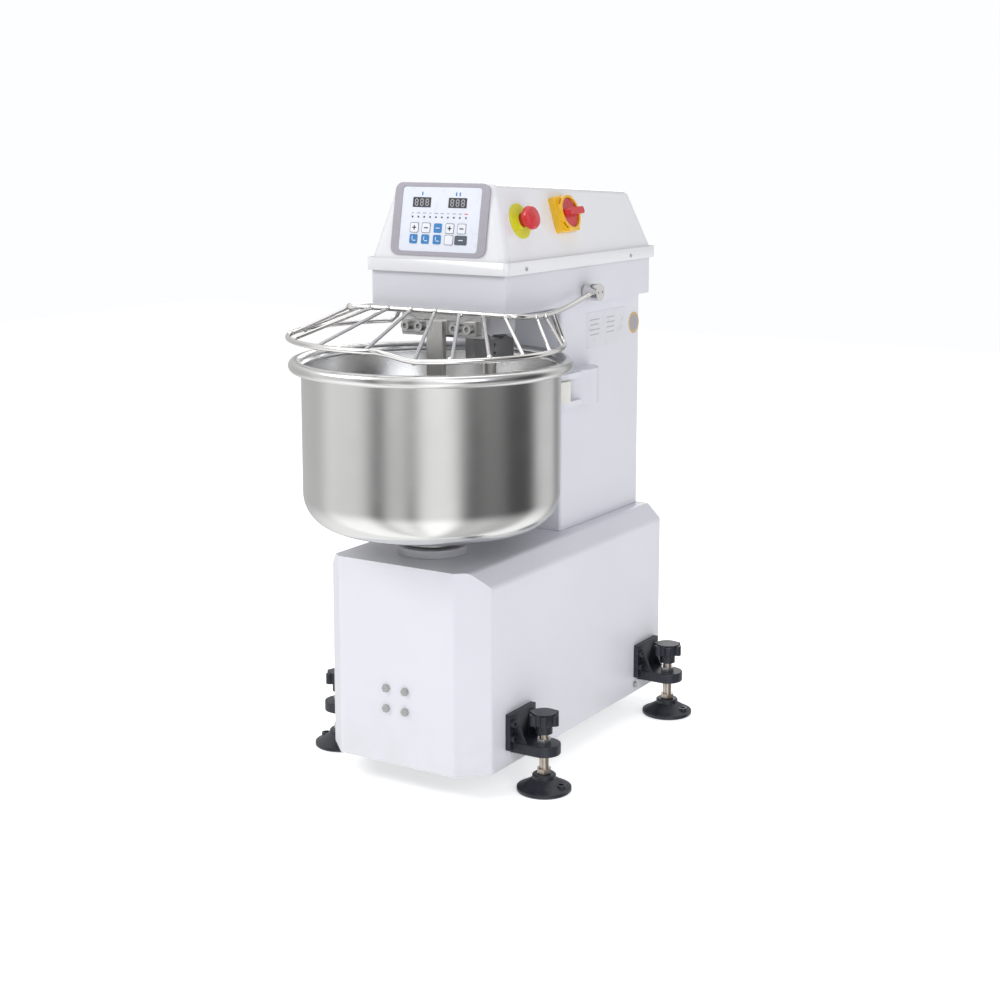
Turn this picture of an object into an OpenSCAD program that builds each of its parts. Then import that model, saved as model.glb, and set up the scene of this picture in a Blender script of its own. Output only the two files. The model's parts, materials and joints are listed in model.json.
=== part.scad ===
// Floor-standing spiral dough mixer: welded base, column and head, turning bowl, spiral hook,
// breaker bar, hinged wire guard, control panel and four levelling feet.
// Millimetres, +Z up, +X to the machine's right, front towards -Y, origin on the floor.

/* [Base] */
// Width of the base cover
base_w = 322; // [300:1:340]
// Width of the flat front face between the corner chamfers
front_w = 230; // [200:1:250]
// Front face of the base
base_front = -261; // [-270:1:-250]
// Rear face of the base
base_rear = 389; // [385:1:390]
// Gap between the floor and the base cover
base_z = 43; // [38:1:44]
// Top of the base cover
base_top = 386; // [380:1:390]

/* [Column and head] */
// Width of the column
column_w = 225; // [215:1:230]
// Front face of the column
column_front = 90; // [88:1:95]
// Rear face of the column and the head pan
column_rear = 381; // [378:1:382]
// Width of the head pan
pan_w = 271; // [266:1:274]
// Front face of the head pan
pan_front = -131; // [-132:1:-129]
// Underside of the head pan
pan_z = 790; // [786:1:792]
// Underside of the lid's flange
lid_z = 856; // [852:1:858]
// Highest point of the lid
lid_top = 1003; // [995:1:1006]

/* [Bowl] */
// Centre of the bowl, front to back
bowl_y = -150; // [-152:1:-148]
// Outer radius of the bowl wall
bowl_r = 216; // [210:1:217]
// Height of the rolled rim's centre
rim_z = 707; // [700:1:710]
// Underside of the bowl
bowl_z = 434; // [432:1:438]
// Bowl sheet thickness
bowl_t = 3; // [2.5:0.5:3.5]

/* [Spiral] */
// Spiral axis, left to right
spiral_x = 48; // [46:1:50]
// Spiral axis, front to back
spiral_y = -44; // [-46:1:-43]
// Radius of the spiral's centreline
coil_r = 73; // [66:1:73]
// Radius of the spiral's bar
hook_r = 12; // [9:1:12]

/* [Guard] */
// Radius of the guard's frame wire
wire_r = 4.5; // [4:0.5:5]
// Radius of a guard spoke
spoke_r = 3; // [2.5:0.5:3.5]
// Guard hinge, front to back
hinge_y = 127; // [125:1:130]
// Guard hinge height
hinge_z = 811; // [808:1:814]

/* [Feet] */
// Foot screw axis, left to right
foot_x = 211; // [208:1:214]
// Front foot screw axis
foot_front = -134; // [-138:1:-130]
// Rear foot screw axis
foot_rear = 326; // [320:1:330]
// Radius of a foot pad
pad_r = 46; // [40:1:48]

/* [Hidden] */
$fn = 64;
sheet = 3;
gap = 0.05;
shoulder = 28;
corner = 44;
column_top = pan_z;
pan_rear = column_rear;
flange_h = 21;
flange_out = 6;
lid_step = 5;
lid_r = 15;
lid_rear_drop = 24;
lid_side_tilt = 16.9;
lid_front_tilt = 10;
lid_rear_tilt = 20;
lid_seam_z = lid_z + flange_h - 2;
bearing_h = 16;
bearing_r = 31;
shaft_r = 15;
bowl_pulley_z = 296;
bowl_pulley_r = 100;
bowl_groove_r = 95;
bowl_motor_y = 130;
bowl_motor_groove_r = 24;
spiral_pulley_z = 822;
spiral_groove_r = 76;
spiral_motor_y = 250;
spiral_motor_groove_r = 28;
plate_z = pan_z + sheet;
plate_t = 12;
breaker_y = pan_front - 4;
estop_y = -60;
estop_z = 941;
switch_y = 80;
switch_z = 945;
roller_r = 22;
roller_x = 128;
roller_y = bowl_y + sqrt(pow(bowl_r + roller_r + 0.4, 2) - roller_x * roller_x);
roller_z = 625;
roller_h = 37;
hub_z = 706;
hub_h = 36;
platform_z = 65;
platform_t = 18;

// ---- helpers ----

function unit(v) = v / norm(v);

// Outline with every corner i rounded to radius r[i]
function rounded(p, r, n = 5) = [for (i = [0:len(p) - 1])
    let (a = unit(p[(i + len(p) - 1) % len(p)] - p[i]),
        b = unit(p[(i + 1) % len(p)] - p[i]),
        half = acos(a * b) / 2,
        c = p[i] + unit(a + b) * r[i] / sin(half),
        s = p[i] + a * r[i] / tan(half) - c,
        e = p[i] + b * r[i] / tan(half) - c,
        a0 = atan2(s.y, s.x),
        turn = (atan2(e.y, e.x) - a0 + 540) % 360 - 180)
    each r[i] == 0 ? [p[i]] : [for (k = [0:n]) c + r[i] * [cos(a0 + turn * k / n), sin(a0 + turn * k / n)]]];

function box_outline(w, y0, y1) = [[-w / 2, y0], [w / 2, y0], [w / 2, y1], [-w / 2, y1]];

module rod(a, b, r) {
    v = b - a;
    translate(a) rotate([0, acos(v.z / norm(v)), atan2(v.y, v.x)]) cylinder(r = r, h = norm(v), $fn = 24);
}

module tube(outer, inner, h) {
    difference() {
        cylinder(r = outer, h = h);
        translate([0, 0, -1]) cylinder(r = inner, h = h + 2);
    }
}

module mirrored() { children(); mirror([1, 0, 0]) children(); }

module at_feet() { for (x = [-1, 1], y = [foot_front, foot_rear]) translate([x * foot_x, y, 0]) children(); }

module hexagon(r, h) { cylinder(r = r, h = h, $fn = 6); }

module socket_screw(r, h) {
    difference() {
        cylinder(r = r, h = h);
        translate([0, 0, h * 0.4]) hexagon(r * 0.55, h);
    }
}

// Flat belt loop round two pulleys that stand on the Y axis of the loop
module belt_loop(r1, r2, span, thick, h) {
    linear_extrude(h) difference() {
        hull() { circle(r = r1 + thick); translate([0, span]) circle(r = r2 + thick); }
        hull() { circle(r = r1); translate([0, span]) circle(r = r2); }
    }
}

module pulley(r, groove_r, bore_r, h, groove) {
    difference() {
        cylinder(r = r, h = h);
        translate([0, 0, -1]) cylinder(r = bore_r, h = h + 2);
        translate([0, 0, (h - groove) / 2]) tube(r + 1, groove_r, groove);
    }
}

// Faces of the lid above its flange, as offsets from the machine's axes at height z
function side_x(z) = pan_w / 2 + flange_out - lid_step - (z - lid_seam_z) * tan(lid_side_tilt);
function front_y(z) = pan_front - flange_out + lid_step + (z - lid_seam_z) * tan(lid_front_tilt);
function rear_y(z) = column_rear + 10 - lid_step - (z - lid_seam_z) * tan(lid_rear_tilt);

// Local frame on the lid's right side face, +Z outwards
module on_lid_side(y, z) { translate([side_x(z), y, z]) rotate([0, 90 - lid_side_tilt, 0]) children(); }

// Local frame on the lid's front face: +X right, +Y up the face, +Z outwards
module on_panel() {
    z = (lid_top + lid_z + flange_h) / 2 + 3;
    translate([0, front_y(z), z]) rotate([90 - lid_front_tilt, 0, 0]) translate([0, 0, 0.1]) children();
}

// ---- base ----

module base_body(inset) {
    w = base_w / 2 - inset;
    f = front_w / 2 - inset * 0.5;
    y0 = base_front + inset;
    top = base_top - inset;
    intersection() {
        translate([0, 0, base_z - (inset > 0 ? 1 : 0)]) linear_extrude(top - base_z + (inset > 0 ? 1 : 0))
            polygon(rounded([[-f, y0], [f, y0], [w, y0 + corner], [w, base_rear - inset],
                [-w, base_rear - inset], [-w, y0 + corner]], [8, 8, 8, 4, 4, 8]));
        translate([0, base_rear + 1, 0]) rotate([90, 0, 0]) linear_extrude(base_rear - base_front + 2)
            polygon(rounded([[-w, 0], [w, 0], [w, top - shoulder], [w - shoulder, top],
                [shoulder - w, top], [-w, top - shoulder]], [0, 0, 14, 14, 14, 14]));
    }
}

module base_shell() {
    color("white") difference() {
        base_body(0);
        base_body(sheet);
        translate([0, bowl_y, base_top - sheet - 1]) cylinder(r = 48.5, h = sheet + 2);
        translate([-90, 130, base_top - sheet - 1]) cube([180, 220, sheet + 2]);
    }
}

module chassis() {
    post = 30;
    color("dimgray") {
        translate([-150, -205, base_z + 3]) cube([300, 585, 6]);
        mirrored() for (y = [-200, 20, 340]) translate([108, y, base_z + 9])
            cube([post, post, base_top - sheet - 18 - base_z]);
        difference() {
            translate([-120, -235, base_top - sheet - 10]) cube([240, 605, 10]);
            translate([0, bowl_y, base_top - 20]) cylinder(r = 48.5, h = 30);
            translate([-90, 130, base_top - 20]) cube([180, 200, 30]);
        }
    }
}

module bowl_bearing_housing() {
    color("gainsboro") translate([0, bowl_y, 0]) difference() {
        union() {
            translate([0, 0, 335]) cylinder(r = 48, h = base_top - 335);
            translate([0, 0, base_top]) cylinder(r = 60, h = 14);
        }
        translate([0, 0, 334]) cylinder(r = 26, h = 80);
        translate([0, 0, 334]) cylinder(r = bearing_r, h = 1 + bearing_h);
        translate([0, 0, base_top + 14 - bearing_h]) cylinder(r = bearing_r, h = bearing_h + 1);
    }
}

module ball_bearings() {
    color("silver") {
        for (z = [335, base_top + 14 - bearing_h]) translate([0, bowl_y, z])
            tube(bearing_r, shaft_r + gap, bearing_h);
        for (z = [pan_z - 38, plate_z + plate_t]) translate([spiral_x, spiral_y, z])
            tube(bearing_r, shaft_r + gap, bearing_h);
    }
}

module motor(r, z0, z1, bore_r, fin_h) {
    difference() {
        union() {
            translate([0, 0, z0]) cylinder(r = r, h = z1 - z0);
            for (a = [0:15:345]) rotate([0, 0, a]) translate([r - 2, -1.5, z0 + 25]) cube([8, 3, fin_h]);
        }
        translate([0, 0, z1 - 20]) cylinder(r = bore_r + gap, h = 21);
    }
}

module bowl_motor() {
    color("slategray") translate([0, bowl_motor_y, 0]) {
        motor(60, base_z + 9, 270, 10, 150);
        translate([60, -25, 120]) cube([28, 50, 60]);
    }
}

module bowl_motor_pulley() {
    color("silver") translate([0, bowl_motor_y, 0]) {
        translate([0, 0, 252]) cylinder(r = 10, h = 78);
        translate([0, 0, bowl_pulley_z]) pulley(28, bowl_motor_groove_r, 9, 30, 20);
    }
}

module bowl_belt() {
    color("black") translate([0, bowl_y, bowl_pulley_z + 6])
        belt_loop(bowl_groove_r + 0.4, bowl_motor_groove_r + 0.4, bowl_motor_y - bowl_y, 4, 18);
}

// ---- column ----

module column_shell() {
    h = column_top - base_top;
    color("white") difference() {
        translate([0, 0, base_top]) linear_extrude(h) difference() {
            polygon(rounded(box_outline(column_w, column_front, column_rear), [6, 6, 2, 2]));
            polygon(box_outline(column_w - 2 * sheet, column_front + sheet, column_rear - sheet));
        }
        translate([-95, column_rear - 5, base_top + 15]) cube([190, 10, h - 30]);
    }
}

module column_rear_cover() {
    color("white") difference() {
        translate([-104, column_rear, base_top + 6]) cube([208, sheet, column_top - base_top - 12]);
        for (z = [0:6], x = [-1, 1]) translate([x * 40 - 30, column_rear - 1, 660 + z * 14]) cube([60, 6, 5]);
        translate([-60, column_rear - 1, 430]) rotate([-90, 0, 0]) cylinder(r = 9, h = 6);
        for (x = [-97, 97], z = [base_top + 14, column_top - 14])
            translate([x, column_rear - 1, z]) rotate([-90, 0, 0]) cylinder(r = 2.6, h = 6);
    }
}

module cable_gland() {
    color("dimgray") translate([-60, column_rear, 430]) rotate([-90, 0, 0]) difference() {
        union() {
            translate([0, 0, -14]) cylinder(r = 8.8, h = 16);
            translate([0, 0, sheet]) hexagon(15, 5);
            translate([0, 0, 1]) cylinder(r = 8.8, h = 9);
            translate([0, 0, -5]) hexagon(14, 5);
        }
        translate([0, 0, -15]) cylinder(r = 6, h = 30);
    }
}

module spiral_motor() {
    color("slategray") translate([0, spiral_motor_y, 0]) {
        motor(74, 500, plate_z, 12, 210);
        translate([-30, 72, 560]) cube([60, 34, 90]);
    }
}

// ---- head ----

module head_pan() {
    color("white") difference() {
        translate([0, 0, pan_z]) linear_extrude(lid_z - pan_z)
            polygon(rounded(box_outline(pan_w, pan_front, pan_rear), [6, 6, 6, 6]));
        translate([0, 0, pan_z + sheet]) linear_extrude(lid_z - pan_z)
            polygon(rounded(box_outline(pan_w - 2 * sheet, pan_front + sheet, pan_rear - sheet), [4, 4, 4, 4]));
        translate([spiral_x, spiral_y, pan_z - 1]) cylinder(r = 45, h = sheet + 2);
        translate([0, spiral_motor_y, pan_z - 1]) cylinder(r = 84, h = sheet + 2);
        translate([-pan_w, hinge_y, hinge_z]) rotate([0, 90, 0]) cylinder(r = 6, h = 2 * pan_w);
    }
}

// Tapered cover with rounded corners, shrunk on every side by inset
module lid_form(inset) {
    r = lid_r - inset;
    top = lid_top - lid_r;
    back = top - lid_rear_drop;
    hull() for (s = [-1, 1]) {
        for (y = [front_y(lid_seam_z) + lid_r, rear_y(lid_seam_z) - lid_r])
            translate([s * (side_x(lid_seam_z) - lid_r), y, lid_seam_z - 10]) cylinder(r = r, h = 10, $fn = 32);
        translate([s * (side_x(top) - lid_r / cos(lid_side_tilt)), front_y(top) + lid_r / cos(lid_front_tilt), top])
            sphere(r = r, $fn = 32);
        translate([s * (side_x(back) - lid_r / cos(lid_side_tilt)), rear_y(back) - lid_r / cos(lid_rear_tilt), back])
            sphere(r = r, $fn = 32);
    }
}

module lid_flange(inset) {
    w = pan_w + 2 * flange_out - 2 * inset;
    translate([0, 0, lid_z - (inset > 0 ? 1 : 0)]) linear_extrude(flange_h + (inset > 0 ? 2 : 0))
        polygon(rounded(box_outline(w, pan_front - 7 + inset, column_rear + 10 - inset), [10, 10, 10, 10]));
}

module head_lid() {
    color("white") difference() {
        union() {
            lid_flange(0);
            lid_form(0);
        }
        intersection() {
            lid_flange(sheet);
            translate([-200, -200, lid_z - 2]) cube([400, 700, flange_h - 8]);
        }
        lid_form(sheet);
        on_lid_side(estop_y, estop_z) translate([0, 0, -30]) cylinder(r = 11.5, h = 60);
        on_lid_side(switch_y, switch_z) translate([0, 0, -30]) cylinder(r = 9, h = 60);
    }
}

module head_plate() {
    color("dimgray") difference() {
        translate([-120, pan_front + 8, plate_z]) cube([240, pan_rear - pan_front - 16, plate_t]);
        translate([spiral_x, spiral_y, plate_z - 1]) cylinder(r = 44, h = plate_t + 2);
        translate([0, spiral_motor_y, plate_z - 1]) cylinder(r = 20, h = plate_t + 2);
    }
}

module spiral_bearing_housing() {
    color("gainsboro") translate([spiral_x, spiral_y, 0]) difference() {
        union() {
            translate([0, 0, pan_z - 38]) cylinder(r = 44, h = 38 + sheet + plate_t);
            translate([0, 0, plate_z + plate_t]) cylinder(r = 58, h = bearing_h);
        }
        translate([0, 0, pan_z - 39]) cylinder(r = 26, h = 90);
        translate([0, 0, pan_z - 39]) cylinder(r = bearing_r, h = 1 + bearing_h);
        translate([0, 0, plate_z + plate_t]) cylinder(r = bearing_r, h = bearing_h + 1);
    }
}

module spiral_pulley() {
    color("silver") translate([spiral_x, spiral_y, spiral_pulley_z + 4]) difference() {
        pulley(80, spiral_groove_r, shaft_r, 26, 20);
        for (a = [0:60:300]) rotate([0, 0, a]) translate([46, 0, -1]) cylinder(r = 13, h = 30);
    }
}

module spiral_motor_pulley() {
    color("silver") translate([0, spiral_motor_y, 0]) {
        translate([0, 0, plate_z - 18]) cylinder(r = 12, h = 76);
        translate([0, 0, spiral_pulley_z + 4]) pulley(32, spiral_motor_groove_r, 11, 26, 20);
    }
}

module spiral_belts() {
    dx = -spiral_x;
    dy = spiral_motor_y - spiral_y;
    color("black") for (k = [0, 1]) translate([spiral_x, spiral_y, spiral_pulley_z + 7.5 + k * 10])
        rotate([0, 0, atan2(dy, dx) - 90])
            belt_loop(spiral_groove_r + 0.4, spiral_motor_groove_r + 0.4, norm([dx, dy]), 4, 9);
}

// ---- breaker bar ----

module at_breaker_screws() {
    for (x = [-62, -35, 35, 62]) translate([x, breaker_y + 6, 765]) rotate([90, 0, 0]) children();
}

module breaker_bar() {
    color("silver") {
        translate([-16, breaker_y - 6, bowl_z + bowl_t + 9]) cube([32, 12, 776 - bowl_z - bowl_t - 9]);
        difference() {
            translate([-74, breaker_y + 6, 753]) cube([148, 10, 24]);
            at_breaker_screws() translate([0, 0, -20]) cylinder(r = 5.2, h = 40);
        }
    }
}

module breaker_bracket() {
    y = breaker_y + 16;
    color("silver") difference() {
        union() {
            translate([-80, y, 748]) cube([160, 14, pan_z - 748]);
            translate([-80, y, pan_z - 8]) cube([70, 50, 8]);
        }
        at_breaker_screws() translate([0, 0, -40]) cylinder(r = 5.2, h = 60);
    }
}

module breaker_screws() {
    color("gray") at_breaker_screws() {
        socket_screw(8, 9);
        translate([0, 0, -22]) cylinder(r = 5, h = 22);
    }
}

// ---- guard ----

frame_side = [[154, 118, 809], [156, 40, 794], [164, -30, 788], [172, -100, 790],
    [172, -160, 794], [130, -160, 795]];
function flip(p) = [-p.x, p.y, p.z];
frame_path = concat(frame_side, [for (i = [5:-1:0]) flip(frame_side[i])]);
hoop_low = [222, 738];
hoop_high = [236.5, 754];
function on_hoop(h, a) = [h[0] * sin(a), bowl_y - h[0] * cos(a), h[1]];
function hoop_at(a) = on_hoop(a > 20 ? hoop_low : hoop_high, a);
spoke_front = [[-112, -40], [-80, -16], [-33, 8], [15, 27], [63, 42], [108, 58], [148, 75]];
spoke_side = [[-100, 93], [-66, 110]];
spoke_left = [[-136, -58], [-100, -78], [-66, -98], [-30, -116]];

// Point on the guard's upper frame beside the head, at depth y
function frame_at(y, i = 0) = frame_side[i + 1].y <= y
    ? frame_side[i] + (frame_side[i + 1] - frame_side[i])
        * (y - frame_side[i].y) / (frame_side[i + 1].y - frame_side[i].y)
    : frame_at(y, i + 1);

// Corners cut again and again until the line bends smoothly; the two ends stay
function smooth(p, n) = n == 0 ? p : smooth(concat([p[0]],
    [for (i = [0:len(p) - 2]) each [p[i] * 0.75 + p[i + 1] * 0.25, p[i] * 0.25 + p[i + 1] * 0.75]],
    [p[len(p) - 1]]), n - 1);

hoop_path = concat([frame_at(-30)], [for (a = [128:-6:26]) on_hoop(hoop_low, a)],
    [for (a = [14:-6:-130]) on_hoop(hoop_high, a)], [flip(frame_at(2))]);

module guard_upper_frame() { color("silver") sweep(smooth(frame_path, 2), wire_r, 12); }

module guard_lower_hoop() { color("silver") sweep(smooth(hoop_path, 1), wire_r, 12); }

module guard_spokes() {
    color("silver") {
        for (s = spoke_front) rod([s[0], frame_side[5].y, frame_side[5].z], hoop_at(s[1]), spoke_r);
        for (s = spoke_side) rod(frame_at(s[0]), hoop_at(s[1]), spoke_r);
        for (s = spoke_left) rod(flip(frame_at(s[0])), hoop_at(s[1]), spoke_r);
    }
}

module guard_pivot_blocks() {
    color("silver") mirrored() translate([141.5, hinge_y, hinge_z]) rotate([0, 90, 0]) difference() {
        cylinder(r = 15, h = 27);
        translate([0, 0, -1]) cylinder(r = 6 + gap, h = 22);
        for (s = [-1, 1]) translate([0, s * 7, 24]) cylinder(r = 2, h = 5);
    }
}

module guard_pivot_pins() {
    color("gray") mirrored() translate([pan_w / 2, hinge_y, hinge_z]) rotate([0, 90, 0]) {
        translate([0, 0, -14]) cylinder(r = 6, h = 38);
        cylinder(r = 11, h = 5);
        translate([0, 0, -11]) cylinder(r = 11, h = 8);
    }
}

module guard_switch() {
    color("darkslategray") translate([pan_w / 2 - 60, hinge_y - 20, plate_z + plate_t]) cube([34, 40, 14]);
}

// ---- controls ----

module slab(w, h, r, z0, z1) {
    translate([0, 0, z0]) linear_extrude(z1 - z0)
        polygon(rounded([[-w / 2, -h / 2], [w / 2, -h / 2], [w / 2, h / 2], [-w / 2, h / 2]], [r, r, r, r]));
}

key_spots = [for (row = [0, 1], col = [0:4]) [-49 + col * 23.5, -14.5 - row * 19]];
display_spots = [[-38.5, 28], [32.5, 28]];

module panel_bezel() {
    color("darkgray") on_panel() difference() {
        slab(188, 122, 14, 0, 3);
        slab(156, 108, 6, -1, 4);
    }
}

module panel_face() {
    color("whitesmoke") on_panel() difference() {
        slab(155.6, 107.6, 6, 0, 2.4);
        for (p = display_spots) translate([p.x, p.y, 0]) slab(36.4, 17, 1, 1.2, 4);
    }
}

module panel_displays() {
    color("black") on_panel() for (p = display_spots) translate([p.x, p.y, 0]) slab(36, 16.6, 1, 1.2, 2.6);
}

module membrane_keys() {
    color("steelblue") on_panel() for (p = key_spots) translate([p.x, p.y, 0])
        slab(p.x > 40 && p.y < -20 ? 22 : 15, 14.5, 2.5, 2.4, 2.9);
}

module control_board() {
    color("seagreen") on_panel() translate([0, 0, -16]) {
        slab(140, 90, 2, 0, 1.6);
        for (x = [-50, -20, 25]) translate([x, -20, 0]) slab(18, 14, 1, -14, 0);
    }
}

module estop_collar() {
    color("gold") on_lid_side(estop_y, estop_z) {
        difference() {
            translate([0, 0, 0.1]) cylinder(r = 30, h = 1.9);
            cylinder(r = 11.5, h = 3);
        }
        translate([0, 0, 2]) tube(14, 11.5, 5);
    }
}

module estop_button() {
    color("crimson") on_lid_side(estop_y, estop_z) {
        translate([0, 0, -18]) cylinder(r = 11, h = 34);
        translate([0, 0, 16]) rotate_extrude()
            polygon([[0, 0], [17, 0], [20, 4], [20, 10], [17, 14], [0, 16]]);
    }
}

module switch_plate() {
    color("gold") on_lid_side(switch_y, switch_z) difference() {
        union() {
            rotate([0, 0, 90]) slab(62, 62, 5, 0.1, 13);
            translate([0, 0, 12]) cylinder(r = 30.5, h = 9);
        }
        translate([0, 0, -1]) cylinder(r = 7, h = 30);
        translate([0, 0, 9]) cylinder(r = 26, h = 20);
        for (a = [45:90:315]) rotate([0, 0, a]) translate([24, -7, 15]) cube([10, 14, 3.5]);
    }
}

module switch_knob() {
    color("red") on_lid_side(switch_y, switch_z) {
        translate([0, 0, -12]) cylinder(r = 6.8, h = 24);
        translate([0, 0, 9.5]) cylinder(r = 25, h = 9);
        rotate([0, 0, 90]) slab(48, 12, 4, 18.5, 34);
    }
}

module contact_blocks() {
    color("dimgray") {
        on_lid_side(estop_y, estop_z) translate([-17, -15, -56]) cube([34, 30, 28]);
        on_lid_side(switch_y, switch_z) difference() {
            translate([-22, -22, -45]) cube([44, 44, 40]);
            translate([0, 0, -13]) cylinder(r = 7, h = 20);
        }
    }
}

// ---- bowl ----

module bowl() {
    fillet_r = 60;
    bead = 10.5;
    inner = bowl_r - bowl_t;
    lip_z = rim_z - bead - 6;
    color("silver") translate([0, bowl_y, 0]) {
        rotate_extrude($fn = 128) difference() {
            union() {
                translate([0, bowl_z]) square([bowl_r - fillet_r, bowl_t]);
                translate([inner, bowl_z + fillet_r]) square([bowl_t, rim_z - bowl_z - fillet_r]);
                intersection() {
                    translate([bowl_r - fillet_r, bowl_z + fillet_r]) difference() {
                        circle(r = fillet_r);
                        circle(r = fillet_r - bowl_t);
                    }
                    translate([bowl_r - fillet_r, bowl_z - 1]) square([fillet_r + 1, fillet_r + 1]);
                }
                translate([bowl_r + bead, rim_z]) circle(r = bead, $fn = 40);
                translate([bowl_r - 1, lip_z + 6]) square([bead, bead]);
            }
            translate([0, rim_z + bead]) square([bowl_r * 2, 30]);
        }
    }
}

module bowl_flange() {
    color("dimgray") translate([0, bowl_y, 404]) difference() {
        cylinder(r = 50, h = bowl_z - 404);
        translate([0, 0, -1]) cylinder(r = shaft_r, h = 21);
    }
}

module bowl_shaft() {
    color("gray") translate([0, bowl_y, 288]) cylinder(r = shaft_r, h = 136);
}

module bowl_pulley() {
    color("silver") translate([0, bowl_y, bowl_pulley_z]) difference() {
        pulley(bowl_pulley_r, bowl_groove_r, shaft_r, 30, 20);
        for (a = [0:60:300]) rotate([0, 0, a]) translate([58, 0, -1]) cylinder(r = 20, h = 40);
    }
}

// ---- spiral ----

// Centreline of the hook about its own axis: a straight stub, an opening turn, a full coil, a tip
turns = 1.35;
rings = 72;
function ease(t) = t * t * (3 - 2 * t);
function grow(t) = t < 0.2 ? ease(t / 0.2) : t > 0.82 ? 1 - 0.55 * ease((t - 0.82) / 0.18) : 1;
function coil_point(t) = let (a = 150 - 360 * turns * t, r = coil_r * grow(t))
    [r * cos(a), r * sin(a), 684 - (684 - 456) * pow(t, 0.92)];
hook_path = concat([[0, 0, 720], [0, 0, 704], [0, 0, 692]], [for (i = [1:rings]) coil_point(i / rings)]);

function frame_x(d) = unit(cross(d, abs(d.z) > 0.9 ? [1, 0, 0] : [0, 0, 1]));

// Sections carried along the path with the least twist
function carry(p, i, u, out) = i >= len(p) ? out :
    let (d = unit(p[min(i + 1, len(p) - 1)] - p[i - 1 < 0 ? 0 : i - 1]), v = unit(u - d * (u * d)))
    carry(p, i + 1, v, concat(out, [[p[i], v, cross(d, v)]]));

module sweep(p, r, sides) {
    f = carry(p, 0, [1, 0, 0], []);
    pts = [for (s = f, k = [0:sides - 1])
        s[0] + r * (s[1] * cos(360 * k / sides) + s[2] * sin(360 * k / sides))];
    n = len(f);
    walls = [for (i = [0:n - 2], k = [0:sides - 1]) let (j = (k + 1) % sides)
        each [[i * sides + k, i * sides + j, (i + 1) * sides + j],
            [i * sides + k, (i + 1) * sides + j, (i + 1) * sides + k]]];
    caps = [[for (k = [sides - 1:-1:0]) k], [for (k = [0:sides - 1]) (n - 1) * sides + k]];
    polyhedron(points = pts, faces = concat(walls, caps), convexity = 8);
}

module spiral_hook() { color("silver") translate([spiral_x, spiral_y, 0]) sweep(hook_path, hook_r - 0.05, 16); }

module spiral_hub() {
    color("gray") translate([spiral_x, spiral_y, hub_z]) rotate([0, 0, 55]) difference() {
        union() {
            translate([-36, -20, 0]) cube([72, 40, hub_h]);
            translate([0, 0, hub_h]) cylinder(r = 30, h = 4);
        }
        translate([0, 0, -1]) cylinder(r = hook_r, h = 16);
        translate([0, 0, 15]) cylinder(r = shaft_r, h = 40);
        translate([0, 0, -1]) cylinder(r = hook_r - 1, h = 20);
        for (z = [11, 26]) translate([0, 0, z]) rotate([90, 0, 0]) translate([0, 0, 16]) cylinder(r = 3, h = 5);
    }
}

module spiral_shaft() {
    color("gray") translate([spiral_x, spiral_y, hub_z + 15]) cylinder(r = shaft_r, h = 143);
}

// ---- bowl guide rollers ----

module roller_housings() {
    color("white") mirrored() {
        intersection() {
            translate([column_w / 2, 140, roller_z - 13]) scale([0.8, 1, 1]) cylinder(r = 48, h = roller_h + 26);
            translate([column_w / 2, 60, roller_z - 20]) cube([60, 130, 100]);
        }
        for (z = [roller_z - 11, roller_z + roller_h + 1]) difference() {
            union() {
                translate([roller_x, roller_y, z]) cylinder(r = 16, h = 10);
                translate([roller_x - 15.3, roller_y, z]) cube([30, 110 - roller_y, 10]);
            }
            translate([roller_x, roller_y, z - 1]) cylinder(r = 6, h = 12);
        }
    }
}

module roller_pins() {
    color("gray") mirrored() translate([roller_x, roller_y, roller_z - 13]) cylinder(r = 6, h = roller_h + 26);
}

module guide_roller() {
    color("ivory") translate([roller_x, roller_y, roller_z]) tube(roller_r, 6 + gap, roller_h);
}

module guide_roller_right() { guide_roller(); }

module guide_roller_left() { mirror([1, 0, 0]) guide_roller(); }

// ---- feet ----

module outward() { for (x = [0, 1], y = [foot_front, foot_rear]) mirror([x, 0, 0]) translate([0, y, 0]) children(); }

module foot_brackets() {
    side = base_w / 2;
    color("black") outward() difference() {
        union() {
            translate([side, -42, 72]) cube([9, 84, 62]);
            translate([side, -28, platform_z]) cube([foot_x - side, 56, platform_t]);
            translate([foot_x, 0, platform_z]) cylinder(r = 28, h = platform_t);
            for (y = [-26, 19]) translate([side + 8, y, platform_z + platform_t - 1]) rotate([90, 0, 0])
                translate([0, 0, -7]) linear_extrude(7) polygon([[0, 0], [20, 0], [0, 42]]);
        }
        translate([foot_x, 0, platform_z - 1]) cylinder(r = 8 + gap, h = platform_t + 2);
        for (y = [-34, 34], z = [92, 118]) translate([side - 1, y, z]) rotate([0, 90, 0])
            cylinder(r = 4.2, h = 20);
    }
}

module bracket_screws() {
    color("black") outward() for (y = [-34, 34], z = [92, 118]) translate([base_w / 2 + 9, y, z])
        rotate([0, 90, 0]) {
            socket_screw(6.5, 6);
            translate([0, 0, -9]) cylinder(r = 4, h = 9);
        }
}

module foot_lock_nuts() {
    color("silver") at_feet() translate([0, 0, platform_z + platform_t]) difference() {
        hexagon(13, 8);
        translate([0, 0, -1]) cylinder(r = 8 + gap, h = 10);
    }
}

module foot_pad(x, y) {
    color("black") translate([x * foot_x, y, 0]) difference() {
        union() {
            rotate_extrude() polygon([[0, 0], [pad_r - 2, 0], [pad_r, 2], [pad_r, 7], [36, 12], [26, 18],
                [20, 22], [20, 28], [18, 30], [0, 30]]);
            translate([x * 33, 0, 0]) cylinder(r = 8.5, h = 16);
        }
        translate([x * 33, 0, -1]) cylinder(r = 4.5, h = 20);
    }
}

module foot_pad_fl() { foot_pad(-1, foot_front); }

module foot_pad_fr() { foot_pad(1, foot_front); }

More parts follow.
